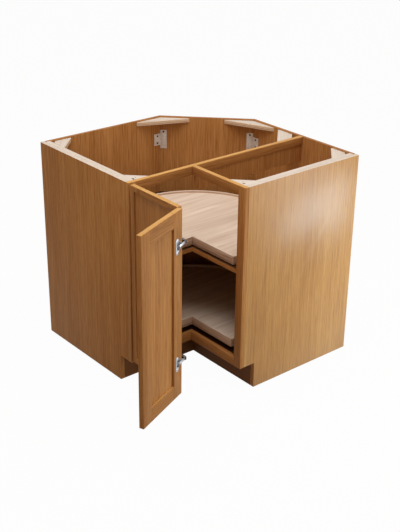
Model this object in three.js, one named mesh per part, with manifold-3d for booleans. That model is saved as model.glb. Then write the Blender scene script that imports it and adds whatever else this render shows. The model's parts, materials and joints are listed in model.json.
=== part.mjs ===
// A corner base cabinet with two turning trays behind a folding two-leaf door.
// Plan: x runs along one wall and y along the other; the room's corner is at the far end of both.
// The left arm's front faces -y and the right arm's front faces -x. Sizes are in millimetres, z is up.
import * as THREE from "three";
import { mergeVertices } from "three/addons/utils/BufferGeometryUtils.js";
import Module from "manifold-3d";

const wasm = await Module();
wasm.setup();

// ---- overall
const wallRun = 914.4; // each side along its wall
const armDepth = 609.6; // from the wall to the face frame
const cabinetHeight = 876.3;
const backChamfer = 300; // how far the diagonal back cuts in along each wall
const toeHeight = 112;
const toeRecess = 77;
const seam = 0.3; // clearance between pieces that meet on a slant or turn together

// ---- board thicknesses
const endThick = 19;
const backThick = 12;
const frameThick = 19;
const floorThick = 18;
const shelfThick = 18;
const toeThick = 18;
const webThick = 12;

// ---- face frame
const stileWidth = 38.1;
const topRailHeight = 36;
const bottomRailHeight = 38.1;
const webDepth = 69;

// ---- levels
const floorDrop = 9.1; // from the bottom rails' top down to the floor
const floorTop = toeHeight + bottomRailHeight - floorDrop;
const shelfTop = 522;

// ---- top cleats and corner blocks
const cleatWidth = 20;
const cleatHeight = 38;
const blockThick = 18;
const blockDrop = 5; // from the cabinet's top down to the blocks
const blockTip = 6; // blunt width of a block's two tips
const frontBlockLeg = 80;
const frontBlockHole = 3;
const rearBlockLeg = 98;
const rearBlockNip = 26; // how much of the rear block's corner is cut off
const wideBlockLeg = 130;
const railBlockNip = 44;
const blockGap = 30.6; // bare wall between the cross rail's block and the wide block

// ---- lock brackets in the two blunt back corners
const bracketThick = 2;
const bracketDrop = 62; // from the cabinet's top down to a bracket
const bracketHeight = 86;
const bracketFace = 29;
const bracketEar = 35;
const bracketTab = 16.5; // the face runs past the ear by this much, above and below
const bracketRaise = 3;
const bracketInset = 5; // from the face's edges to its raised channel
const bracketHole = 2.5;

// ---- trays and their turntables
const trayInset = 5 / 24; // share of an arm's depth from the face frame's front to the trays' centre
const trayFrontGap = 8.9; // from the face frame's back to the trays' straight edges
const trayEndGap = 54.8; // from an end panel to the round tray that its room would take
const trayBackGap = 100.4; // from the diagonal back to that tray
const trayThick = 18;
const edgingThick = 12;
const edgingHeight = 36.5;
const rimThick = 8;
const rimRise = 9; // how far the rim stands above the deck
const rimStart = 60; // the raised part begins this far in from each straight edge
const hubRadius = 95;
const lowerHubThick = 30;
const upperHubThick = 12;
const bearingInner = 60;
const bearingOuter = 100;
const bearingFlange = 1.5;
const raceWidth = 16;
const lowerRingHeight = 4.5;
const upperRingHeight = 7;
const bearingGap = 0.5;
const arcSegments = 56;
const roundSides = 40;

// ---- door leaves
const leafThick = 19;
const leafBottom = 120;
const leafTopGap = 4.8; // from a leaf's top to the cabinet's top
const leafSide = 2.5; // from the cabinet's side to the closed leaf's edge
const leafBack = 3; // from the face frame to the closed leaf's back
const foldGap = 1; // from the fold line to each leaf's edge
const pivotFromEdge = 8;
const pivotFromBack = 11.5;
const restOpening = 90; // how many degrees the door is drawn open
const restFold = 112.5; // degrees between the two show faces as drawn
const showFrame = 22; // width of the raised frame round the show side
const showRecess = 6.5;
const backRecess = 8.5;
const leafStile = 57;
const leafRail = 57;

// ---- hinges
const upperHingeDrop = 133.5; // from a leaf's top to the middle of its upper hinge
const lowerHingeRise = 142;
const hingeClear = 0.6; // clearance between the halves of a hinge
const cupRadius = 17.2;
const cupDepth = 11;
const cupWall = 1.2;
const foldCupFromEdge = 24.5;
const wingLength = 62;
const wingWidth = 22;
const wingThick = 1.2;
const wingCore = 30; // height of the wings' full width
const wingLobe = 11; // radius of the wings' round ends
const wingOffset = 11; // from the cup's centre to the middle of its two wings
const plateThick = 2;
const plateHeight = 44;
const armWidth = 9;
const armThick = 1.5;
const footThick = 3.5;
const padWidth = 12;
const padRise = 2.3;
const padOverhang = 0.7;
const tongueThick = 4.7;
const tongueReach = 17;
const channelStart = 40; // from the leaf's edge back to the channel's inner end
const channelReach = 17;
const channelPlateStart = 50;
const channelPlateEnd = 15;

// ---- places that follow from the sizes above
const faceLine = wallRun - armDepth;
const frameBack = faceLine + frameThick;
const backInside = wallRun - backThick;
const railBottom = cabinetHeight - topRailHeight;
const toeFront = faceLine + toeRecess;
const chamferSum = 2 * wallRun - backChamfer; // x + y on the diagonal back's outer face
const chamferInside = chamferSum - backThick * Math.SQRT2;
const mitreOuter = wallRun - backChamfer;
const mitreInner = chamferInside - backInside;
const railBlockLeg = mitreInner - frameBack - wideBlockLeg - blockGap;
const trayCentre = faceLine + armDepth * trayInset;
// The round tray that keeps those gaps to both end panels and to the diagonal back.
const trayRoom = chamferInside / Math.SQRT2 - Math.SQRT2 * (endThick + trayEndGap) - trayBackGap;
const trayRadius = trayRoom / (1 + Math.SQRT2);
const footPoint = (chamferSum + chamferInside) / 4; // middle of the diagonal back, in x and in y
const leafWidth = faceLine - leafBack - leafThick - foldGap - leafSide;
const leafHeight = cabinetHeight - leafTopGap - leafBottom;
const pivotX = leafSide + pivotFromEdge;
const pivotY = faceLine - leafBack - pivotFromBack;
const hingeLevels = [
  ["upper", leafHeight - upperHingeDrop],
  ["lower", lowerHingeRise],
];
const cupBottom = leafThick - cupDepth + seam;
const wingBase = leafThick + seam;
const cupTop = wingBase + wingThick;
// The fixed arm stands inside the cup when the door is shut.
const armInCup = Math.sqrt((cupRadius - cupWall) ** 2 - (armWidth / 2) ** 2) - hingeClear;
const armOuter = stileWidth + seam + armThick;
const swingCupFromEdge = armOuter - leafSide - armInCup;

// ---- finishes
function finish(color, roughness, metalness = 0) {
  return new THREE.MeshStandardMaterial({ color, roughness, metalness });
}
const veneer = finish(0xa87442, 0.5);
const solidWood = finish(0x9c6636, 0.5);
const plainBoard = finish(0x8a5a30, 0.6);
const paleWood = finish(0xdcc4ac, 0.65);
const zinc = finish(0xb8b6b4, 0.35, 0.9);
const nickel = finish(0xc4c4c8, 0.25, 1);

// ---- solids
function solidOf(geometry) {
  const bare = new THREE.BufferGeometry();
  bare.setAttribute("position", geometry.getAttribute("position"));
  if (geometry.index) bare.setIndex(geometry.index);
  const merged = mergeVertices(bare, 1e-4);
  const triVerts = new Uint32Array(merged.index.array);
  const vertProperties = new Float32Array(merged.attributes.position.array);
  return new wasm.Manifold(new wasm.Mesh({ numProp: 3, vertProperties, triVerts }));
}

function geometryOf(solid) {
  const mesh = solid.getMesh();
  const geometry = new THREE.BufferGeometry();
  geometry.setAttribute("position", new THREE.BufferAttribute(new Float32Array(mesh.vertProperties), 3));
  geometry.setIndex(new THREE.BufferAttribute(new Uint32Array(mesh.triVerts), 1));
  geometry.computeVertexNormals();
  return geometry;
}

function cut(body, ...tools) {
  return geometryOf(tools.reduce((left, tool) => left.subtract(solidOf(tool)), solidOf(body)));
}

function join(body, ...others) {
  return geometryOf(others.reduce((whole, other) => whole.add(solidOf(other)), solidOf(body)));
}

// ---- shapes
// Raises a plan shape from one level to another, with both levels met exactly.
function raise(shape, low, high) {
  const geometry = new THREE.ExtrudeGeometry(shape, {
    depth: 1,
    bevelEnabled: false,
    curveSegments: arcSegments,
  });
  const points = geometry.getAttribute("position");
  for (let i = 0; i < points.count; i++) points.setZ(i, points.getZ(i) < 0.5 ? low : high);
  return geometry;
}

function prism(outline, low, high) {
  return raise(new THREE.Shape(outline.map(([x, y]) => new THREE.Vector2(x, y))), low, high);
}

function rect(x0, y0, x1, y1) {
  return [
    [x0, y0],
    [x1, y0],
    [x1, y1],
    [x0, y1],
  ];
}

function box(x0, y0, z0, x1, y1, z1) {
  return prism(rect(x0, y0, x1, y1), z0, z1);
}

// A round bar lying level, given by its middle, its length and its heading in plan (0 is along y).
function bar(radius, [x, y], z, length, heading = 0) {
  const geometry = new THREE.CylinderGeometry(radius, radius, length, roundSides);
  return geometry.rotateZ(-heading).translate(x, y, z);
}

// The same plan outline on the other side of the cabinet's diagonal.
function mirrored(outline) {
  return outline.map(([x, y]) => [y, x]).reverse();
}

function piece(group, name, geometry, material) {
  const mesh = new THREE.Mesh(geometry, material);
  mesh.name = name;
  group.add(mesh);
  return mesh;
}

// A left piece and its mirror image on the right.
function pair(group, name, outline, low, high, material) {
  piece(group, `left_${name}`, prism(outline, low, high), material);
  piece(group, `right_${name}`, prism(mirrored(outline), low, high), material);
}

// ---- carcass
function addPanels(group) {
  const end = rect(0, frameBack, endThick, wallRun);
  const notch = rect(-1, frameBack - 1, endThick + 1, toeFront);
  const endPanel = (side) => cut(prism(side(end), 0, cabinetHeight), prism(side(notch), -1, toeHeight));
  piece(group, "left_end_panel", endPanel((outline) => outline), veneer);
  piece(group, "right_end_panel", endPanel(mirrored), veneer);
  const back = [
    [endThick, backInside],
    [mitreInner - seam, backInside],
    [mitreOuter - seam, wallRun],
    [endThick, wallRun],
  ];
  pair(group, "back_panel", back, 0, cabinetHeight, veneer);
  const diagonal = [
    [mitreInner, backInside],
    [backInside, mitreInner],
    [wallRun, mitreOuter],
    [mitreOuter, wallRun],
  ];
  piece(group, "diagonal_back_panel", prism(diagonal, 0, cabinetHeight), veneer);
}

// The floor and the fixed shelf fill the plan between the face frame and the backs.
function addFloors(group) {
  const outline = [
    [endThick, frameBack],
    [frameBack, frameBack],
    [frameBack, endThick],
    [backInside, endThick],
    [backInside, mitreInner - seam],
    [mitreInner - seam, backInside],
    [endThick, backInside],
  ];
  piece(group, "cabinet_floor", prism(outline, floorTop - floorThick, floorTop), plainBoard);
  piece(group, "fixed_shelf", prism(outline, shelfTop - shelfThick, shelfTop), plainBoard);
}

function addToeBoards(group) {
  const high = floorTop - floorThick;
  const toeBack = toeFront + toeThick;
  piece(group, "left_toe_board", box(endThick, toeFront, 0, toeBack, toeBack, high), plainBoard);
  piece(group, "right_toe_board", box(toeFront, endThick, 0, toeBack, toeFront, high), plainBoard);
}

function addFaceFrame(group) {
  const addRail = (name, x0, y0, z0, x1, y1, z1) => {
    piece(group, name, box(x0, y0, z0, x1, y1, z1), solidWood);
  };
  const bottomRailTop = toeHeight + bottomRailHeight;
  pair(group, "stile", rect(0, faceLine, stileWidth, frameBack), toeHeight, cabinetHeight, solidWood);
  // The left top rail runs on past the inner corner to the right back panel.
  addRail("left_top_rail", stileWidth, faceLine, railBottom, backInside, frameBack, cabinetHeight);
  addRail("right_top_rail", faceLine, stileWidth, railBottom, frameBack, faceLine, cabinetHeight);
  addRail("left_bottom_rail", stileWidth, faceLine, toeHeight, frameBack, frameBack, bottomRailTop);
  addRail("right_bottom_rail", faceLine, stileWidth, toeHeight, frameBack, faceLine, bottomRailTop);
  const webFront = (faceLine + frameBack - webThick) / 2;
  const web = rect(frameBack, webFront, backInside, webFront + webThick);
  piece(group, "cross_web", prism(web, railBottom - webDepth, railBottom), veneer);
}

function addCleats(group) {
  const cleat = rect(endThick, frameBack, endThick + cleatWidth, backInside);
  pair(group, "top_cleat", cleat, cabinetHeight - cleatHeight, cabinetHeight, paleWood);
}

// A corner block's plan: a triangle with blunt tips and, where asked, a nipped corner.
// Each side is given by the unit direction in which it runs away from the corner.
function blockOutline(corner, sideA, sideB, leg, nip) {
  const from = (point, side, distance) => [point[0] + side[0] * distance, point[1] + side[1] * distance];
  const tipA = from(corner, sideA, leg);
  const tipB = from(corner, sideB, leg);
  const start = nip > 0 ? [from(corner, sideB, nip), from(corner, sideA, nip)] : [corner];
  return [...start, tipA, from(tipA, sideB, blockTip), from(tipB, sideA, blockTip), tipB];
}

function addCornerBlocks(group) {
  const inner = endThick + cleatWidth;
  const high = cabinetHeight - blockDrop;
  const low = high - blockThick;
  const front = blockOutline([inner, frameBack], [1, 0], [0, 1], frontBlockLeg, 0);
  const hole = new THREE.CylinderGeometry(frontBlockHole, frontBlockHole, 3 * blockThick, 20);
  hole.rotateX(Math.PI / 2);
  const holeInset = frontBlockLeg * 0.35;
  for (const [side, turned] of [
    ["left", (outline) => outline],
    ["right", mirrored],
  ]) {
    const [[x, y]] = turned([[inner + holeInset, frameBack + holeInset]]);
    const drilled = cut(prism(turned(front), low, high), hole.clone().translate(x, y, high));
    piece(group, `${side}_front_block`, drilled, paleWood);
  }
  const rear = blockOutline([inner, backInside], [1, 0], [0, -1], rearBlockLeg, rearBlockNip);
  pair(group, "rear_block", rear, low, high, paleWood);
  const beside = blockOutline([backInside, frameBack], [-1, 0], [0, 1], railBlockLeg, railBlockNip);
  piece(group, "cross_rail_block", prism(beside, low, high), paleWood);
  const blunt = [mitreInner - seam, backInside - seam];
  const wide = blockOutline(blunt, [-1, 0], [Math.SQRT1_2, -Math.SQRT1_2], wideBlockLeg, 0);
  pair(group, "wide_block", wide, low, high, paleWood);
}

// A folded metal plate in a blunt corner: an ear on the back panel, and a taller face with a raised
// channel on the diagonal panel.
function bracket(turned) {
  const corner = [mitreInner - seam, backInside - seam];
  const along = (distance, out) => [
    corner[0] + (distance - out) * Math.SQRT1_2,
    corner[1] - (distance + out) * Math.SQRT1_2,
  ];
  const high = cabinetHeight - bracketDrop;
  const low = high - bracketHeight;
  const earLow = low + bracketTab;
  const earHigh = high - bracketTab;
  const earEnd = corner[0] - bracketEar;
  const ear = [
    corner,
    along(0, bracketThick),
    [earEnd, corner[1] - bracketThick],
    [earEnd, corner[1]],
  ];
  const strip = (start, end, near, far) => [
    along(start, near),
    along(start, far),
    along(end, far),
    along(end, near),
  ];
  const face = strip(0, bracketFace, 0, bracketThick);
  const channelOut = bracketThick + bracketRaise;
  const channel = strip(bracketInset, bracketFace - bracketInset, bracketThick / 2, channelOut);
  const plate = join(
    prism(turned(ear), earLow, earHigh),
    prism(turned(face), low, high),
    prism(turned(channel), earLow, earHigh),
  );
  const [outward] = turned([[0, 1]]);
  const earHeading = Math.atan2(outward[0], outward[1]);
  const holeInset = (earHigh - earLow) / 5;
  const [earHole] = turned([[corner[0] - bracketEar / 2, corner[1]]]);
  const [tabHole] = turned([along(bracketFace / 2, 0)]);
  return cut(
    plate,
    bar(bracketHole, earHole, earLow + holeInset, 6 * bracketThick, earHeading),
    bar(bracketHole, earHole, earHigh - holeInset, 6 * bracketThick, earHeading),
    bar(bracketHole, tabHole, high - bracketTab / 2, 6 * bracketThick, Math.PI / 4),
  );
}

function addBrackets(group) {
  piece(group, "left_lock_bracket", bracket((outline) => outline), zinc);
  piece(group, "right_lock_bracket", bracket(mirrored), zinc);
}

// ---- carousels
// Where a circle round the tray's centre meets one of the straight front edges.
function reachOf(radius, edge) {
  return Math.sqrt(radius * radius - edge * edge);
}

// A disc with a square notch whose sides lie at the given offset from the centre.
function notchedDisc(radius, edge) {
  const reach = reachOf(radius, edge);
  const shape = new THREE.Shape();
  shape.moveTo(edge, edge);
  shape.lineTo(edge, -reach);
  shape.absarc(0, 0, radius, Math.atan2(-reach, edge), Math.atan2(edge, -reach) + 2 * Math.PI, false);
  shape.lineTo(edge, edge);
  return shape;
}

// The curved band round such a disc.
function notchedBand(inner, outer, edge) {
  const start = (radius) => Math.atan2(-reachOf(radius, edge), edge);
  const end = (radius) => Math.PI / 2 - start(radius);
  const shape = new THREE.Shape();
  shape.absarc(0, 0, outer, start(outer), end(outer), false);
  shape.absarc(0, 0, inner, end(inner), start(inner), true);
  return shape;
}

function ring(profile) {
  const points = [...profile, profile[0]].map(([radius, z]) => new THREE.Vector2(radius, z));
  return new THREE.LatheGeometry(points, roundSides).rotateX(Math.PI / 2);
}

// A tray with its hub block and both rings of its bearing, standing on a seat at the given level.
function addCarousel(fixed, name, seat, hubThick) {
  const raceInner = (bearingInner + bearingOuter - raceWidth) / 2;
  const raceOuter = raceInner + raceWidth;
  const lowerRing = ring([
    [bearingInner, 0],
    [bearingOuter, 0],
    [bearingOuter, bearingFlange],
    [raceOuter, bearingFlange],
    [raceOuter, lowerRingHeight],
    [raceInner, lowerRingHeight],
    [raceInner, bearingFlange],
    [bearingInner, bearingFlange],
  ]);
  const base = piece(fixed, `${name}_bearing_base`, lowerRing, zinc);
  base.position.set(trayCentre, trayCentre, seat);

  const turning = new THREE.Group();
  turning.position.copy(base.position);
  fixed.add(turning);
  const ringLow = lowerRingHeight + bearingGap;
  const ringTop = ringLow + upperRingHeight;
  const flangeLow = ringTop - bearingFlange;
  const upperRing = ring([
    [raceInner, ringLow],
    [raceOuter, ringLow],
    [raceOuter, flangeLow],
    [bearingOuter, flangeLow],
    [bearingOuter, ringTop],
    [bearingInner, ringTop],
    [bearingInner, flangeLow],
    [raceInner, flangeLow],
  ]);
  piece(turning, `${name}_bearing_ring`, upperRing, zinc);
  const hub = new THREE.CylinderGeometry(hubRadius, hubRadius, hubThick, roundSides).rotateX(Math.PI / 2);
  piece(turning, `${name}_hub`, hub, paleWood).position.z = ringTop + hubThick / 2;

  const boardLow = ringTop + hubThick;
  const deck = boardLow + trayThick;
  const edgeLow = deck - edgingHeight;
  const edge = frameBack + trayFrontGap - trayCentre;
  const edgeBack = edge + edgingThick;
  const rimInner = trayRadius - rimThick;
  const boardRadius = rimInner - seam;
  piece(turning, `${name}_board`, raise(notchedDisc(boardRadius, edgeBack), boardLow, deck), paleWood);

  const rimTop = deck + rimRise;
  const band = raise(notchedBand(rimInner, trayRadius, edge), edgeLow, rimTop);
  const setBack = rect(edge - 1, -trayRadius - 1, edge + rimStart, 0);
  const rim = cut(band, prism(setBack, deck, rimTop + 1), prism(mirrored(setBack), deck, rimTop + 1));
  piece(turning, `${name}_rim`, rim, paleWood);

  const leftEdging = [
    [-reachOf(boardRadius, edge), edge],
    [edgeBack, edge],
    [edgeBack, edgeBack],
    [-reachOf(boardRadius, edgeBack), edgeBack],
  ];
  const rightEdging = [
    [edge, -reachOf(boardRadius, edge)],
    [edgeBack, -reachOf(boardRadius, edgeBack)],
    [edgeBack, edge],
    [edge, edge],
  ];
  piece(turning, `${name}_left_edging`, prism(leftEdging, edgeLow, deck), paleWood);
  piece(turning, `${name}_right_edging`, prism(rightEdging, edgeLow, deck), paleWood);
}

// ---- door
// Each leaf is drawn in its own frame: x from its first edge, y from its show face back, z from its foot.
function addLeaf(group, name, firstStile, lastStile, cupFromEdge) {
  const inner = leafWidth - leafStile;
  const railTop = leafHeight - leafRail;
  const recessTop = leafHeight - showFrame;
  const recess = box(showFrame, -1, showFrame, leafWidth - showFrame, showRecess, recessTop);
  const addPart = (part, body, ...bores) => {
    piece(group, `${name}_${part}`, cut(body, recess, ...bores), solidWood);
  };
  const boreMiddle = leafThick - cupDepth + leafThick / 2;
  const bores = hingeLevels.map(([, z]) => bar(cupRadius + seam, [cupFromEdge, boreMiddle], z, leafThick));
  addPart(firstStile, box(0, 0, 0, leafStile, leafThick, leafHeight), ...bores);
  addPart(lastStile, box(inner, 0, 0, leafWidth, leafThick, leafHeight));
  addPart("bottom_rail", box(leafStile + seam, 0, 0, inner - seam, leafThick, leafRail));
  addPart("top_rail", box(leafStile + seam, 0, railTop, inner - seam, leafThick, leafHeight));
  const panelLow = leafRail + seam;
  const panelBack = leafThick - backRecess;
  const panelRight = inner - seam;
  const panel = box(leafStile + seam, showRecess, panelLow, panelRight, panelBack, railTop - seam);
  piece(group, `${name}_panel`, panel, veneer);
}

// A hinge cup sunk in a leaf's back, open at its mouth, with two screw wings.
function hingeCup(x, z) {
  const cupBar = (radius, y0, y1) => bar(radius, [x, (y0 + y1) / 2], z, y1 - y0);
  const middle = x + wingOffset;
  const wingPlate = (half, rise) => box(middle - half, wingBase, z - rise, middle + half, cupTop, z + rise);
  const lobeRise = wingLength / 2 - wingLobe;
  const lobe = (rise) => bar(wingLobe, [middle, (wingBase + cupTop) / 2], z + rise, wingThick);
  const shell = join(
    cupBar(cupRadius, cupBottom, cupTop),
    wingPlate(wingWidth / 2, wingCore / 2),
    wingPlate(wingLobe, lobeRise),
    lobe(lobeRise),
    lobe(-lobeRise),
  );
  return cut(shell, cupBar(cupRadius - cupWall, cupBottom + cupWall, cupTop + 1));
}

// The cup on the hinge leaf has a small pad on its rim, under the tip of the fixed arm.
function swingCup(z) {
  const rimEdge = swingCupFromEdge - cupRadius;
  const padTop = leafThick + padRise;
  const half = padWidth / 2;
  const pad = box(rimEdge - padOverhang, wingBase, z - half, rimEdge + cupWall, padTop, z + half);
  return join(hingeCup(swingCupFromEdge, z), pad);
}

// The fixed half of a swing hinge, in the cabinet's plan: a plate on the stile's inner edge and a bent
// arm whose foot ends just outside the sweep of the leaf's corner.
function swingArm(z) {
  const padEdge = swingCupFromEdge - cupRadius - padOverhang;
  const cornerSweep = Math.hypot(pivotFromEdge, pivotFromBack);
  const padSweep = Math.hypot(pivotFromEdge - padEdge, pivotFromBack + padRise);
  const clearSweep = Math.max(cornerSweep, padSweep) + hingeClear;
  const footRise = pivotFromBack - cupDepth + seam + cupWall + hingeClear;
  const footX = pivotX + Math.sqrt(clearSweep ** 2 - footRise ** 2);
  const footY = pivotY + footRise;
  const armInner = stileWidth + seam;
  const low = z - armWidth / 2;
  const high = z + armWidth / 2;
  const plateLow = z - plateHeight / 2;
  const plateInner = stileWidth + plateThick;
  return join(
    box(stileWidth, faceLine + 1, plateLow, plateInner, frameBack - 1, plateLow + plateHeight),
    box(armInner, footY, low, armOuter, faceLine + 5, high),
    box(footX, footY, low, armOuter, footY + footThick, high),
  );
}

// The outer leaf's half of a fold hinge: a cup whose tongue runs out past the leaf's edge.
function foldCup(z) {
  const low = z - armWidth / 2;
  const high = z + armWidth / 2;
  const middle = foldCupFromEdge;
  const tongue = box(-tongueReach, wingBase, low, middle, wingBase + tongueThick, high);
  const root = box(middle - 5, cupBottom, low, middle, wingBase + 1, high);
  return join(hingeCup(middle, z), tongue, root);
}

// The hinge leaf's half of a fold hinge: a plate and a channel that straddles the tongue.
function foldArm(z) {
  const sweep = Math.hypot(tongueReach - foldGap, wingBase + tongueThick) + hingeClear;
  const gap = armWidth / 2 + hingeClear;
  const outer = gap + armThick;
  const start = leafWidth - channelStart;
  const end = leafWidth + channelReach;
  const plateTop = wingBase + plateThick;
  const low = plateTop - seam;
  const plateStart = leafWidth - channelPlateStart;
  const plateEnd = leafWidth - channelPlateEnd;
  const plateLow = z - plateHeight / 2;
  return join(
    box(plateStart, wingBase, plateLow, plateEnd, plateTop, plateLow + plateHeight),
    box(start, low, z + gap, end, sweep + armThick, z + outer),
    box(start, low, z - outer, end, sweep + armThick, z - gap),
    box(start, sweep, z - outer, end, sweep + armThick, z + outer),
  );
}

function addDoor(fixed) {
  const swing = new THREE.Group();
  swing.position.set(pivotX, pivotY, leafBottom);
  swing.rotation.z = -THREE.MathUtils.degToRad(restOpening);
  fixed.add(swing);
  const hingeLeaf = new THREE.Group();
  hingeLeaf.position.set(-pivotFromEdge, pivotFromBack - leafThick, 0);
  swing.add(hingeLeaf);
  const fold = new THREE.Group();
  fold.position.x = leafWidth + foldGap;
  fold.rotation.z = THREE.MathUtils.degToRad(restFold - 180);
  hingeLeaf.add(fold);
  const outerLeaf = new THREE.Group();
  outerLeaf.position.x = foldGap;
  fold.add(outerLeaf);
  addLeaf(hingeLeaf, "hinge_leaf", "hung_stile", "fold_stile", swingCupFromEdge);
  addLeaf(outerLeaf, "outer_leaf", "fold_stile", "free_stile", foldCupFromEdge);
  for (const [level, z] of hingeLevels) {
    piece(hingeLeaf, `${level}_swing_hinge_cup`, swingCup(z), nickel);
    piece(fixed, `${level}_swing_hinge_arm`, swingArm(leafBottom + z), nickel);
    piece(hingeLeaf, `${level}_fold_hinge_arm`, foldArm(z), nickel);
    piece(outerLeaf, `${level}_fold_hinge_cup`, foldCup(z), nickel);
  }
}

// ---- the whole cabinet, with its origin at the foot of the diagonal back
const whole = new THREE.Group();
const cabinet = new THREE.Group();
cabinet.position.set(-footPoint, -footPoint, 0);
whole.add(cabinet);
addPanels(cabinet);
addFloors(cabinet);
addToeBoards(cabinet);
addFaceFrame(cabinet);
addCleats(cabinet);
addCornerBlocks(cabinet);
addBrackets(cabinet);
addCarousel(cabinet, "lower_tray", floorTop, lowerHubThick);
addCarousel(cabinet, "upper_tray", shelfTop, upperHubThick);
addDoor(cabinet);

export default whole;
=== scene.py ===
"""A corner base cabinet with turning trays and a folding door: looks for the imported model.

Lengths are in metres. The row frame has its origin at the foot of the diagonal back; the plan
lengths measured from the end panels' outer faces are called cabinet lengths and are shifted by FOOT.
"""
import json
import math
import random

import bmesh
import bpy
from mathutils import Matrix, Vector


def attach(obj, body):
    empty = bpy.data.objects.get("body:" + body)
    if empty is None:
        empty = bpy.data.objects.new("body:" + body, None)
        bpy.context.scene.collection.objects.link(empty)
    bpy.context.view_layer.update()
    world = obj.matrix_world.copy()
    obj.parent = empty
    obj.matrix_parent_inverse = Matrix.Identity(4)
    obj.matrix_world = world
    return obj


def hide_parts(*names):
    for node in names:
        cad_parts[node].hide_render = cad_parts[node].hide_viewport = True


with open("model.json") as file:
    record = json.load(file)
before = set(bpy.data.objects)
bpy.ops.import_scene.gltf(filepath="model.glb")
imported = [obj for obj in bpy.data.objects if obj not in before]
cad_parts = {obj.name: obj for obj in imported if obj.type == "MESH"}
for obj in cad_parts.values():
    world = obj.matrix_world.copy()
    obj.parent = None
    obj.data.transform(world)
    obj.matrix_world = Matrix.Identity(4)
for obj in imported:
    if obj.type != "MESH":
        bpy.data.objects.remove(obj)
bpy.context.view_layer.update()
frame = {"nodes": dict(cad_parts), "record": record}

random.seed(7)

# ---- sizes of the cabinet that the dressing follows
FOOT = 0.7601574  # what is taken off a cabinet length, in x and in y
CABINET_TOP = 0.8763
TRAY_CENTRE = 0.4318 - FOOT

# ---- the door's leaves and hinges, in a leaf's own frame
LEAF_WIDTH = 0.2793
LEAF_HEIGHT = 0.7515
LEAF_BOTTOM = 0.120
PIVOT = (0.0105, 0.2903)  # cabinet lengths
PIVOT_IN_LEAF = (0.008, 0.0075)
SHOW_FRAME = 0.022
SHOW_RECESS = 0.0065
FOLD_GAP = 0.001
FOLD_TURN = math.radians(-67.5)
HINGE_LEVELS = (LEAF_HEIGHT - 0.1335, 0.142)
FOLD_WING = 0.0355  # from a leaf's edge to the middle of the hinge cup's wings
SWING_WING = 0.03366
WING_TOP = 0.0204
ARM_PLATE = LEAF_WIDTH - 0.0325
ARM_PLATE_TOP = 0.0212
STILE_PLATE = (0.0400, 0.3143)  # cabinet lengths

# ---- the blocks and brackets near the top
BLOCK_SCREW = (0.0465, 0.3420)  # cabinet lengths, mirrored for the right block
BLOCK_TOP = CABINET_TOP - 0.0051
BRACKET_EAR = 0.035
BRACKET_TAB = 0.0165
BRACKET_FACE = 0.029
BRACKET_THICK = 0.002

# ---- how wide an edge is rounded, and in how many steps
ROUNDED_RIM = (0.0018, 3)
ROUNDED_PANEL = (0.0012, 2)
ROUNDED_FRAME = (0.0010, 2)
ROUNDED_LEAF = (0.0009, 2)
ROUNDED_HUB = (0.0008, 1)
ROUNDED_BOARD = (0.0006, 1)
ROUNDED_THIN = (0.0005, 1)
ROUNDED_BRACKET = (0.0004, 2)
ROUNDED_METAL = (0.0003, 2)
ROUNDED_CRISP = (0.0003, 1)

# ---- screws: radius and rise of a head, and how far the screws of a pair are from their middle
WING_HEAD = (0.0040, 0.0010)
ARM_HEAD = (0.0036, 0.0010)
STILE_HEAD = (0.0036, 0.0009)
BLOCK_HEAD = (0.0070, 0.0016)
BRACKET_HEAD = (0.0042, 0.0009)
WING_SPREAD = 0.0235
PLATE_SPREAD = 0.015
HEAD_DOME = ((1.0, 0.0), (0.97, 0.45), (0.84, 0.8), (0.66, 1.0))  # shares of the radius and of the rise
HEAD_STEPS = 24

# ---- wood grain: waves in a metre across, through and along the grain
STREAKS = (200, 200, 3.0)
FIBRES = (560, 560, 14)
PORES = (360, 360, 11)
PLY_LAYER = 0.0062  # from one pale layer of a laminated board to the next

UP = Vector((0, 0, 1))
ALONG_X = Vector((1, 0, 0))
ALONG_Y = Vector((0, 1, 0))


# ---- materials
def linear(red, green, blue):
    """A colour written as 0-255 screen values, in linear light."""
    def one(value):
        value /= 255
        return value / 12.92 if value <= 0.04045 else ((value + 0.055) / 1.055) ** 2.4
    return (one(red), one(green), one(blue), 1)


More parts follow.
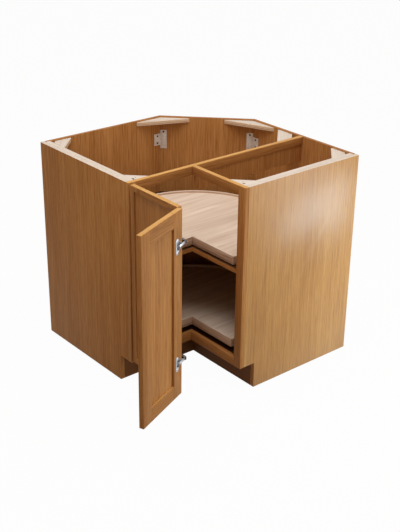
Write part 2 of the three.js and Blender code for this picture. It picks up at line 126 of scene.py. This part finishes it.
class Graph:
    """A node tree that is filled node by node."""

    def __init__(self, tree):
        self.tree = tree

    def add(self, kind, settings=None, **inputs):
        node = self.tree.nodes.new(kind)
        for key, value in (settings or {}).items():
            setattr(node, key, value)
        for key, value in inputs.items():
            self.feed(node.inputs[key.replace("_", " ")], value)
        return node

    def feed(self, socket, value):
        if isinstance(value, bpy.types.NodeSocket):
            self.tree.links.new(value, socket)
        else:
            socket.default_value = value

    def stretched(self, source, scale, offset=(0, 0, 0)):
        node = self.add("ShaderNodeMapping", None, Vector=source, Scale=scale, Location=offset)
        return node.outputs["Vector"]

    def noise(self, vector, detail=2.0, rough=0.5, distortion=0.0):
        node = self.add(
            "ShaderNodeTexNoise", None,
            Vector=vector, Scale=1.0, Detail=detail, Roughness=rough, Distortion=distortion,
        )
        return node.outputs["Fac"]

    def ramp(self, fac, *stops):
        node = self.add("ShaderNodeValToRGB", None, Fac=fac)
        elements = node.color_ramp.elements
        while len(elements) < len(stops):
            elements.new(0.5)
        for element, (position, colour) in zip(elements, stops):
            element.position = position
            element.color = colour
        return node.outputs["Color"]

    def value(self, fac, low, high, start=0.0, end=1.0):
        node = self.add(
            "ShaderNodeMapRange", None,
            Value=fac, From_Min=low, From_Max=high, To_Min=start, To_Max=end,
        )
        return node.outputs["Result"]

    def mix(self, fac, first, second):
        node = self.add("ShaderNodeMix", {"data_type": "RGBA"})
        self.feed(node.inputs[0], fac)
        self.feed(node.inputs[6], first)
        self.feed(node.inputs[7], second)
        return node.outputs[2]

    def maths(self, operation, first, second):
        node = self.add("ShaderNodeMath", {"operation": operation})
        self.feed(node.inputs[0], first)
        self.feed(node.inputs[1], second)
        return node.outputs[0]

    def mix_shaders(self, share, first, second):
        node = self.add("ShaderNodeMixShader")
        for socket, value in zip(node.inputs, (share, first, second)):
            self.feed(socket, value)
        return node.outputs[0]


class Finish(Graph):
    """A material's node tree, with its Principled shader."""

    def __init__(self, name):
        self.material = bpy.data.materials.new(name)
        self.material.use_nodes = True
        super().__init__(self.material.node_tree)
        self.shader = self.tree.nodes["Principled BSDF"]

    def bump(self, height, strength, distance):
        node = self.add("ShaderNodeBump", None, Height=height, Strength=strength, Distance=distance)
        self.feed(self.shader.inputs["Normal"], node.outputs["Normal"])

    def set(self, **inputs):
        for key, value in inputs.items():
            self.feed(self.shader.inputs[key.replace("_", " ")], value)


def grain_of(graph):
    """The place on a piece as (across, depth, along the grain), kept in its grain attribute."""
    node = graph.add("ShaderNodeAttribute", {"attribute_name": "grain"})
    return node.outputs["Vector"]


def wood(name, dark, light, pore, contrast=1.0, pores=0.5, rough=(0.45, 0.58), gloss=0.06, bump=0.25,
         band=(14, 14, 0.8), band_share=0.2):
    """Sawn wood with broad bands, fine fibres and short open pores that run along the grain.

    pores is how much an open pore takes on its own colour. rough is the roughness from the dark to the
    light streaks. band is the waves in a metre of the broad bands, and band_share their part in the tone.
    """
    graph = Finish(name)
    place = grain_of(graph)
    bands = graph.noise(graph.stretched(place, band), 2.0, 0.5, 0.8)
    streaks = graph.noise(graph.stretched(place, STREAKS, (3, 1, 7)), 3.0, 0.65)
    fibres = graph.noise(graph.stretched(place, FIBRES, (9, 4, 2)), 2.0, 0.6)
    dashes = graph.noise(graph.stretched(place, PORES, (5, 8, 1)), 2.0, 0.6)
    tone = graph.maths("MULTIPLY", bands, band_share)
    tone = graph.maths("ADD", tone, graph.maths("MULTIPLY", streaks, 0.6 * (1 - band_share)))
    tone = graph.maths("ADD", tone, graph.maths("MULTIPLY", fibres, 0.4 * (1 - band_share)))
    half = 0.13 / contrast
    shade = graph.ramp(tone, (0.5 - half, dark), (0.5 + half, light))
    open_pores = graph.value(dashes, 0.56, 0.70, 0.0, pores)
    graph.set(Base_Color=graph.mix(open_pores, shade, pore))
    graph.set(Roughness=graph.value(streaks, 0.3, 0.7, *rough), Specular_IOR_Level=gloss)
    graph.bump(graph.maths("SUBTRACT", fibres, open_pores), bump, 0.0003)
    return graph.material


def ply_edge(name, pale, dark, layer):
    """The sawn side of a laminated board: thin level layers."""
    graph = Finish(name)
    place = graph.add("ShaderNodeTexCoord").outputs["Object"]
    split = graph.add("ShaderNodeSeparateXYZ", None, Vector=place)
    turns = graph.maths("MULTIPLY", split.outputs["Z"], 2 * math.pi / layer)
    wave = graph.maths("SINE", turns, 0.0)
    grain = graph.noise(graph.stretched(place, (90, 90, 700)), 3.0, 0.6)
    tone = graph.maths("ADD", graph.maths("MULTIPLY", wave, 0.5), grain)
    graph.set(Base_Color=graph.ramp(tone, (0.2, dark), (0.75, pale)))
    graph.set(Roughness=graph.value(grain, 0.3, 0.7, 0.6, 0.75))
    graph.bump(grain, 0.3, 0.0003)
    return graph.material


def metal(name, colour, rough, metallic=1.0):
    """Sheet metal with a faint brushed and clouded surface. A dull zinc coat is only part metallic."""
    graph = Finish(name)
    place = graph.add("ShaderNodeTexCoord").outputs["Object"]
    clouds = graph.noise(graph.stretched(place, (160, 160, 160)), 4.0, 0.6)
    brush = graph.noise(graph.stretched(place, (900, 900, 60)), 2.0, 0.5)
    tint = tuple(channel * 0.72 for channel in colour[:3]) + (1,)
    graph.set(Base_Color=graph.ramp(clouds, (0.3, tint), (0.7, colour)), Metallic=metallic)
    graph.set(Roughness=graph.value(brush, 0.3, 0.7, rough, rough + 0.15))
    graph.bump(brush, 0.05, 0.0002)
    return graph.material


VENEER = wood("veneer", linear(158, 102, 50), linear(202, 148, 90), linear(120, 70, 32))
# Painted light: a slightly lighter copy of the veneer for the right end, glossier so that it shows the
# right lamp's sheen; its faces along x keep the plain veneer.
LIT_RIGHT_VENEER = wood(
    "painted_light_veneer", linear(163, 109, 49), linear(206, 157, 88), linear(132, 74, 36),
    contrast=0.9, pores=0.42, rough=(0.29, 0.36), gloss=0.40,
)
SOLID = wood("solid_wood", linear(152, 98, 48), linear(192, 138, 82), linear(116, 68, 31))
# Painted light: a lighter, yellower copy of the solid wood on the upward faces of rails, stiles and door
# leaves, as lit from above.
PAINTED_LIT_TOP = wood(
    "painted_lit_solid_top", linear(180, 132, 70), linear(212, 168, 104), linear(146, 98, 50), contrast=0.8,
)
BACK_EDGE = wood(
    "back_edge", linear(140, 92, 52), linear(168, 118, 72), linear(110, 70, 38), contrast=0.8,
)
# Painted shade: the cabinet floor and the fixed shelf's top are a near-black brown for the shade under
# the trays.
UNDER_TRAY_SHADE = wood("plain_board", linear(62, 38, 22), linear(84, 54, 34), linear(50, 30, 17), contrast=0.8)
TOE = wood("toe_board", linear(110, 70, 40), linear(136, 90, 52), linear(86, 52, 28), contrast=0.7)
PALE = wood(
    "pale_wood", linear(190, 178, 165), linear(215, 206, 196), linear(163, 143, 126),
    pores=0.4, rough=(0.6, 0.75),
)
MAPLE = wood(
    "tray_board", linear(200, 178, 156), linear(230, 214, 198), linear(188, 162, 138),
    contrast=0.7, pores=0.25, rough=(0.42, 0.55), gloss=0.2, bump=0.12,
    band=(42, 42, 2.4), band_share=0.6,
)
# Painted shade: a darker, pinker copy of the tray wood on the trays' upright faces, the rim walls and the
# edging sides, which get less light than the tops.
SHADED_TRAY_SIDES = wood(
    "painted_shade_tray_sides", linear(170, 140, 116), linear(222, 192, 166), linear(138, 106, 84),
    contrast=1.1, rough=(0.45, 0.6), gloss=0.2,
)
PLY = ply_edge("ply_edge", linear(226, 198, 168), linear(186, 150, 116), PLY_LAYER)
ZINC = metal("zinc", linear(238, 230, 222), 0.5, 0.2)
NICKEL = metal("nickel", linear(200, 198, 200), 0.26)
ARM_STEEL = metal("arm_steel", linear(128, 118, 112), 0.34)
# Painted shade: near-black screw heads that darken the bracket holes as their shade would.
HOLE_SHADE_SCREW = metal("hole_shade_screw", linear(70, 66, 64), 0.4)
# Painted shade: black screw heads on the front blocks, dark for the shade of a recessed hole.
BLOCK_SHADE_SCREW = metal("block_hole_shade_screw", linear(40, 38, 42), 0.6, 0.3)

# ---- dressing the CAD nodes
body_of_node = {
    node: body for body, nodes in frame["record"]["behaviour"]["bodies"].items() for node in nodes
}


def some_offset():
    return Vector((random.uniform(0, 9), random.uniform(0, 9), random.uniform(0, 9)))


def axes_of(along):
    along = along.normalized()
    depth = along.cross(UP) if abs(along.z) < 0.9 else along.cross(Vector((1, 1, 0)))
    depth.normalize()
    return depth.cross(along), depth, along


def along_axes(spot, axes, offset):
    return Vector([axis.dot(spot) for axis in axes]) + offset


def round_about(spot, centre, offset):
    """The grain of a bent strip: up, out from the centre, and round the bend."""
    ray = spot - centre
    angle = math.atan2(ray.x + ray.y, ray.x - ray.y)
    return Vector((spot.z, ray.xy.length, angle * ray.xy.length)) + offset


def write_grain(mesh, place_on):
    """Keeps, for each corner of each face, its place across, through and along the grain."""
    values = []
    for face in mesh.polygons:
        for vertex in face.vertices:
            values.extend(place_on(mesh.vertices[vertex].co, face))
    mesh.attributes.new("grain", "FLOAT_VECTOR", "CORNER").data.foreach_set("vector", values)


def soften(mesh, edge, keep_crisp=None):
    """Welds the triangles into flat faces and rounds the sharp edges by a small radius."""
    width, segments = edge
    work = bmesh.new()
    work.from_mesh(mesh)
    bmesh.ops.remove_doubles(work, verts=work.verts, dist=2e-6)
    bmesh.ops.dissolve_limit(
        work, angle_limit=math.radians(0.5), verts=work.verts, edges=work.edges,
        use_dissolve_boundaries=False,
    )
    sharp = [
        edge for edge in work.edges
        if len(edge.link_faces) == 2 and edge.calc_face_angle(0) > math.radians(35)
        and not (keep_crisp and all(keep_crisp(vertex.co) for vertex in edge.verts))
    ]
    bmesh.ops.bevel(
        work, geom=sharp, offset=width, segments=segments, profile=0.5,
        affect="EDGES", clamp_overlap=True,
    )
    for face in work.faces:
        face.smooth = True
    work.to_mesh(mesh)
    work.free()
    mesh.set_sharp_from_angle(angle=math.radians(30))


def place_piece(mesh, name, body):
    piece = bpy.data.objects.new(name, mesh)
    bpy.context.scene.collection.objects.link(piece)
    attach(piece, body)
    return piece


def dress(node, material, along, edge, *overlays, bent_round=None, recess=None):
    """Shows a node by a copy with rounded edges.

    along is the direction of its grain. Each overlay is (material, test of a face). recess is a leaf's
    show-side recess, whose faces are all one veneered panel with upright grain.
    """
    mesh = frame["nodes"][node].data.copy()
    mesh.name = node + "_fine"
    soften(mesh, edge, recess and recess.holds)
    axes = axes_of(along)
    offset = some_offset()

    def place_on(spot, face):
        if bent_round:
            return round_about(spot, bent_round, offset)
        if recess and recess.shows(face):
            return along_axes(spot, recess.axes, recess.offset)
        return along_axes(spot, axes, offset)

    write_grain(mesh, place_on)
    if recess:
        overlays = ((VENEER, recess.shows), *overlays)
    mesh.materials.clear()
    for shown in (material, *(overlay for overlay, _ in overlays)):
        mesh.materials.append(shown)
    for face in mesh.polygons:
        places = (index for index, (_, test) in enumerate(overlays, 1) if test(face))
        face.material_index = next(places, 0)
    piece = place_piece(mesh, node + "_fine", body_of_node[node])
    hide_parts(node)
    return piece


def faces_up(face):
    return face.normal.z > 0.9


def faces_level(face):
    return abs(face.normal.z) < 0.5


def faces_along_x(face):
    return abs(face.normal.x) > 0.5


def leaf_frame(folded):
    """From a leaf's own frame (x across, y from show face to back, z up) to the row frame."""
    place = (
        Matrix.Translation((PIVOT[0] - FOOT, PIVOT[1] - FOOT, LEAF_BOTTOM))
        @ Matrix.Rotation(math.radians(-90), 4, "Z")
        @ Matrix.Translation((-PIVOT_IN_LEAF[0], -PIVOT_IN_LEAF[1], 0))
    )
    if folded:
        place = (
            place
            @ Matrix.Translation((LEAF_WIDTH + FOLD_GAP, 0, 0))
            @ Matrix.Rotation(FOLD_TURN, 4, "Z")
            @ Matrix.Translation((FOLD_GAP, 0, 0))
        )
    return place


class Recess:
    """The flat middle of a leaf's show side, which one sheet of veneer covers."""

    def __init__(self, place):
        self.inverse = place.inverted()
        self.outward = -(place.to_3x3() @ ALONG_Y)
        self.axes = axes_of(UP)
        self.offset = some_offset()

    def holds(self, spot):
        local = self.inverse @ spot
        inside = SHOW_FRAME - 1e-5 < local.x < LEAF_WIDTH - SHOW_FRAME + 1e-5
        return inside and abs(local.y - SHOW_RECESS) < 1e-5

    def shows(self, face):
        return face.normal.dot(self.outward) > 0.99 and self.holds(face.center)


# The right end, except its faces along x, takes the painted-light copy of the veneer.
for name, veneer in (("left_end_panel", VENEER), ("right_end_panel", LIT_RIGHT_VENEER)):
    dress(name, veneer, UP, ROUNDED_PANEL, (PALE, faces_up), (VENEER, faces_along_x))
for name in ("left_back_panel", "right_back_panel", "diagonal_back_panel"):
    dress(name, VENEER, UP, ROUNDED_THIN, (BACK_EDGE, faces_up))
# Upward faces of the stiles and rails take the painted-light top copy of the solid wood.
for name in ("left_stile", "right_stile"):
    dress(name, SOLID, UP, ROUNDED_FRAME, (PAINTED_LIT_TOP, faces_up))
dress("cross_web", VENEER, UP, ROUNDED_BOARD)
dress("left_top_rail", SOLID, ALONG_X, ROUNDED_FRAME, (PAINTED_LIT_TOP, faces_up))
dress("right_top_rail", SOLID, ALONG_Y, ROUNDED_FRAME, (PAINTED_LIT_TOP, faces_up))
dress("left_bottom_rail", SOLID, ALONG_X, ROUNDED_FRAME)
dress("right_bottom_rail", SOLID, ALONG_Y, ROUNDED_FRAME)
# The floor and the shelf's top carry the painted shade under the trays.
dress("cabinet_floor", UNDER_TRAY_SHADE, ALONG_X, ROUNDED_BOARD)
dress("fixed_shelf", SOLID, ALONG_X, ROUNDED_BOARD, (UNDER_TRAY_SHADE, faces_up))
dress("left_toe_board", TOE, ALONG_X, ROUNDED_BOARD)
dress("right_toe_board", TOE, ALONG_Y, ROUNDED_BOARD)
dress("left_top_cleat", PALE, ALONG_Y, ROUNDED_BOARD)
dress("right_top_cleat", PALE, ALONG_X, ROUNDED_BOARD)
block_grain = {
    "left_front_block": (1, -1), "right_front_block": (1, -1), "left_rear_block": (1, 1),
    "right_rear_block": (1, 1), "cross_rail_block": (1, 1),
    "left_wide_block": (1, -0.41), "right_wide_block": (-0.41, 1),
}
for name, (x, y) in block_grain.items():
    dress(name, PALE, Vector((x, y, 0)), ROUNDED_FRAME, (PLY, faces_level))

for leaf, folded in (("hinge_leaf", False), ("outer_leaf", True)):
    place = leaf_frame(folded)
    recess = Recess(place)
    across = place.to_3x3() @ ALONG_X
    stiles = ("fold_stile", "free_stile") if folded else ("hung_stile", "fold_stile")
    # Upward faces of the leaves take the painted-light top copy of the solid wood.
    for part in stiles:
        dress(f"{leaf}_{part}", SOLID, UP, ROUNDED_LEAF, (PAINTED_LIT_TOP, faces_up), recess=recess)
    for part in ("bottom_rail", "top_rail"):
        dress(f"{leaf}_{part}", SOLID, across, ROUNDED_THIN, (PAINTED_LIT_TOP, faces_up), recess=recess)
    dress(f"{leaf}_panel", VENEER, UP, ROUNDED_CRISP, recess=recess)

tray_middle = Vector((TRAY_CENTRE, TRAY_CENTRE, 0))
for tray in ("lower_tray", "upper_tray"):
    dress(f"{tray}_board", MAPLE, ALONG_X, ROUNDED_THIN)
    # The rim's upright walls and the edging's sides carry the painted shade; their tops keep the tray
    # wood.
    dress(f"{tray}_rim", MAPLE, ALONG_X, ROUNDED_RIM, (SHADED_TRAY_SIDES, faces_level), bent_round=tray_middle)
    dress(f"{tray}_left_edging", SHADED_TRAY_SIDES, ALONG_X, ROUNDED_PANEL, (MAPLE, faces_up))
    dress(f"{tray}_right_edging", SHADED_TRAY_SIDES, ALONG_Y, ROUNDED_PANEL, (MAPLE, faces_up))
    dress(f"{tray}_hub", PALE, ALONG_X, ROUNDED_HUB, (PLY, faces_level))
    dress(f"{tray}_bearing_base", ZINC, ALONG_X, ROUNDED_CRISP)
    dress(f"{tray}_bearing_ring", ZINC, ALONG_X, ROUNDED_CRISP)
for name in ("left_lock_bracket", "right_lock_bracket"):
    dress(name, ZINC, UP, ROUNDED_BRACKET)
for level in ("upper", "lower"):
    for part in ("swing_hinge_cup", "fold_hinge_cup"):
        dress(f"{level}_{part}", NICKEL, UP, ROUNDED_METAL)
    for part in ("swing_hinge_arm", "fold_hinge_arm"):
        dress(f"{level}_{part}", ARM_STEEL, UP, ROUNDED_METAL)


# ---- screws
def screw_mesh(work, place, radius, rise):
    """Adds a domed screw head with a cross recess to a bmesh. Its axis is the place's z."""
    arm, width, floor = radius * 0.55, radius * 0.16, rise * 0.35
    corners = [
        (width, width), (width, arm), (-width, arm), (-width, width), (-arm, width), (-arm, -width),
        (-width, -width), (-width, -arm), (width, -arm), (width, -width), (arm, -width), (arm, width),
    ]

    def vertex(x, y, z):
        return work.verts.new(place @ Vector((x, y, z)))

    rings = []
    for share, height in HEAD_DOME:
        ring = []
        for i in range(HEAD_STEPS):
            turn = 2 * math.pi * i / HEAD_STEPS + math.pi / 4
            across = radius * share
            ring.append(vertex(across * math.cos(turn), across * math.sin(turn), rise * height))
        rings.append(ring)
    for low, high in zip(rings, rings[1:]):
        for i in range(HEAD_STEPS):
            j = (i + 1) % HEAD_STEPS
            work.faces.new((low[i], low[j], high[j], high[i]))
    outer = rings[-1]
    top = [vertex(x, y, rise) for x, y in corners]
    bottom = [vertex(x * 0.8, y * 0.8, floor) for x, y in corners]
    count = len(corners)
    for i in range(count):
        j = (i + 1) % count
        work.faces.new((outer[2 * i], outer[2 * i + 1], outer[(2 * i + 2) % HEAD_STEPS], top[j], top[i]))
        work.faces.new((top[i], top[j], bottom[j], bottom[i]))
    work.faces.new(bottom)


def screws(name, body, places, head, material):
    work = bmesh.new()
    for place in places:
        screw_mesh(work, place, *head)
    bmesh.ops.recalc_face_normals(work, faces=work.faces)
    mesh = bpy.data.meshes.new(name)
    work.to_mesh(mesh)
    work.free()
    mesh.materials.append(material)
    return place_piece(mesh, name, body)


FACING_BACK = Matrix.Rotation(math.radians(-90), 4, "X")
FACING_SIDE = Matrix.Rotation(math.radians(90), 4, "Y")


def on_leaf(folded, x, y, spread):
    """The places of a pair of screws at each hinge of a leaf, facing its back."""
    return [
        leaf_frame(folded) @ Matrix.Translation((x, y, z + side * spread)) @ FACING_BACK
        for z in HINGE_LEVELS for side in (-1, 1)
    ]


screws(
    "fold_wing_screws", "outer_leaf",
    on_leaf(True, FOLD_WING, WING_TOP, WING_SPREAD), WING_HEAD, NICKEL,
)
screws(
    "swing_wing_screws", "hinge_leaf",
    on_leaf(False, SWING_WING, WING_TOP, WING_SPREAD), WING_HEAD, NICKEL,
)
screws(
    "fold_arm_screws", "hinge_leaf",
    on_leaf(False, ARM_PLATE, ARM_PLATE_TOP, PLATE_SPREAD), ARM_HEAD, NICKEL,
)
stile_x, stile_y = (length - FOOT for length in STILE_PLATE)
stile_places = [
    Matrix.Translation((stile_x, stile_y, LEAF_BOTTOM + z + side * PLATE_SPREAD)) @ FACING_SIDE
    for z in HINGE_LEVELS for side in (-1, 1)
]
screws("stile_plate_screws", "cabinet", stile_places, STILE_HEAD, NICKEL)
# The front blocks' black screw heads paint the shade of a recessed hole.
block_places = [
    Matrix.Translation((x - FOOT, y - FOOT, BLOCK_TOP)) for x, y in (BLOCK_SCREW, reversed(BLOCK_SCREW))
]
screws("front_block_screws", "cabinet", block_places, BLOCK_HEAD, BLOCK_SHADE_SCREW)


def bracket_screws(name, towards_x):
    """Screw heads in the three holes of a bracket, dark for the painted shade inside the holes. The left
    one's ear lies along x.
    """
    corners = [Vector(corner) for corner in frame["nodes"][name].bound_box]
    low = Vector((min(c.x for c in corners), min(c.y for c in corners), min(c.z for c in corners)))
    high = Vector((max(c.x for c in corners), max(c.y for c in corners), max(c.z for c in corners)))
    ear_start = (low.x if towards_x else low.y) + BRACKET_EAR
    far = high.y if towards_x else high.x
    ear_low, ear_high = low.z + BRACKET_TAB, high.z - BRACKET_TAB
    inset = (ear_high - ear_low) / 5
    slant = BRACKET_FACE / 2 / math.sqrt(2)
    lift = BRACKET_THICK / math.sqrt(2)
    spots = [
        (ear_start - BRACKET_EAR / 2, far - BRACKET_THICK, ear_low + inset, (0, -1)),
        (ear_start - BRACKET_EAR / 2, far - BRACKET_THICK, ear_high - inset, (0, -1)),
        (ear_start + slant - lift, far - slant - lift, high.z - BRACKET_TAB / 2, (-1, -1)),
    ]
    places = []
    for x, y, z, (nx, ny) in spots:
        if not towards_x:
            x, y, nx, ny = y, x, ny, nx
        turn = Vector((nx, ny, 0)).to_track_quat("Z", "Y").to_matrix().to_4x4()
        places.append(Matrix.Translation((x, y, z)) @ turn)
    screws(name + "_screws", "cabinet", places, BRACKET_HEAD, HOLE_SHADE_SCREW)


bracket_screws("left_lock_bracket", True)
bracket_screws("right_lock_bracket", False)

# ---- camera
CAMERA_PLACE = Vector((-2.8095, -3.3130, 2.1913))
HEADING = math.radians(49.998)
DROP = math.radians(25.161)
ROLL = math.radians(0.710)
FOCAL_PIXELS = 1016.27
PHOTO_HEIGHT = 532
SENSOR = 36

forward = Vector((
    math.cos(HEADING) * math.cos(DROP), math.sin(HEADING) * math.cos(DROP), -math.sin(DROP),
))
level_right = Vector((math.sin(HEADING), -math.cos(HEADING), 0))
level_up = level_right.cross(forward)
right = level_right * math.cos(ROLL) + level_up * math.sin(ROLL)
upward = -level_right * math.sin(ROLL) + level_up * math.cos(ROLL)
camera_data = bpy.data.cameras.new("camera")
camera_data.sensor_width = SENSOR
camera_data.lens = FOCAL_PIXELS / PHOTO_HEIGHT * SENSOR
camera_data.clip_end = 100
camera = bpy.data.objects.new("camera", camera_data)
turned = Matrix((right, upward, -forward)).transposed().to_4x4()
camera.matrix_world = Matrix.Translation(CAMERA_PLACE) @ turned
bpy.context.scene.collection.objects.link(camera)
bpy.context.scene.camera = camera
bpy.context.scene.view_settings.view_transform = "Standard"


# ---- floor, light and background
WHITE = (1, 1, 1, 1)
FLOOR_DARK = (0.27, 0.26, 0.25, 1)
FLOOR_LIGHT = (0.31, 0.30, 0.29, 1)
FLOOR_SPECKLE = 40
FLOOR_GLOW = 1.03
FLOOR_WHITE_SHARE = 0.94  # the rest of the floor's look is its lit and shadowed surface
FLOOR_REACH = 30
FLOOR_DROP = 0.0005
SKY_LOW = (0.62, 0.50, 0.41, 1)
SKY_HIGH = (1.0, 0.84, 0.72, 1)
SKY_STRENGTH = 0.59


def seen_directly(graph):
    """1 for rays that show the background itself: to the camera, in a mirror or through glass."""
    path = graph.add("ShaderNodeLightPath").outputs
    total = graph.maths("MAXIMUM", path["Is Camera Ray"], path["Is Glossy Ray"])
    return graph.maths("MAXIMUM", total, path["Is Transmission Ray"])


def pale_floor():
    """Looks white, but lights the cabinet from below only as a grey floor does."""
    material = bpy.data.materials.new("pale_floor")
    material.use_nodes = True
    graph = Graph(material.node_tree)
    graph.tree.nodes.clear()
    speckle = graph.add("ShaderNodeTexNoise", None, Scale=FLOOR_SPECKLE).outputs["Fac"]
    tint = graph.ramp(speckle, (0, FLOOR_DARK), (1, FLOOR_LIGHT))
    lit = graph.add("ShaderNodeBsdfDiffuse", None, Color=tint).outputs[0]
    white = graph.add("ShaderNodeEmission", None, Strength=FLOOR_GLOW).outputs[0]
    share = graph.maths("MULTIPLY", seen_directly(graph), FLOOR_WHITE_SHARE)
    graph.add("ShaderNodeOutputMaterial", None, Surface=graph.mix_shaders(share, lit, white))
    return material


floor_mesh = bpy.data.meshes.new("floor")
floor_mesh.from_pydata(
    [(x * FLOOR_REACH, y * FLOOR_REACH, -FLOOR_DROP) for x, y in ((-1, -1), (1, -1), (1, 1), (-1, 1))],
    [], [(0, 1, 2, 3)],
)
floor_mesh.materials.append(pale_floor())
floor = bpy.data.objects.new("floor", floor_mesh)
bpy.context.scene.collection.objects.link(floor)

world = bpy.data.worlds.new("studio")
bpy.context.scene.world = world
world.use_nodes = True
studio = Graph(world.node_tree)
ambient = studio.tree.nodes["Background"]
direction = studio.add("ShaderNodeTexCoord").outputs["Generated"]
height = studio.add("ShaderNodeSeparateXYZ", None, Vector=direction).outputs["Z"]
studio.feed(ambient.inputs["Color"], studio.ramp(height, (0.0, SKY_LOW), (0.9, SKY_HIGH)))
studio.feed(ambient.inputs["Strength"], SKY_STRENGTH)
bright = studio.add("ShaderNodeBackground", None, Color=WHITE)
backdrop = studio.mix_shaders(seen_directly(studio), ambient.outputs[0], bright.outputs[0])
studio.feed(studio.tree.nodes["World Output"].inputs["Surface"], backdrop)


def soft_light(name, place, target, size, power, colour=(1, 1, 1)):
    """A rectangular lamp at a place, turned to a target. The camera doesn't see it."""
    data = bpy.data.lights.new(name, "AREA")
    data.color = colour
    data.shape = "RECTANGLE"
    data.size, data.size_y = size
    data.energy = power
    lamp = bpy.data.objects.new(name, data)
    lamp.location = place
    lamp.visible_camera = False
    lamp.rotation_euler = (Vector(target) - Vector(place)).to_track_quat("-Z", "Y").to_euler()
    bpy.context.scene.collection.objects.link(lamp)


soft_light("key", (0.75, -2.4, 0.8), (-0.2, -0.76, 0.45), (1.0, 1.0), 13.5)
# The right end's glossy face mirrors this one as the pale sheen in its upper part.
soft_light("right", (0.60, -1.61, 0.26), (-0.17, -0.76, 0.69), (0.66, 0.34), 7, (0.72, 0.90, 1.0))
soft_light("top", (-0.8, -0.7, 4.2), (-0.3, -0.3, 0.5), (3.0, 3.0), 114)
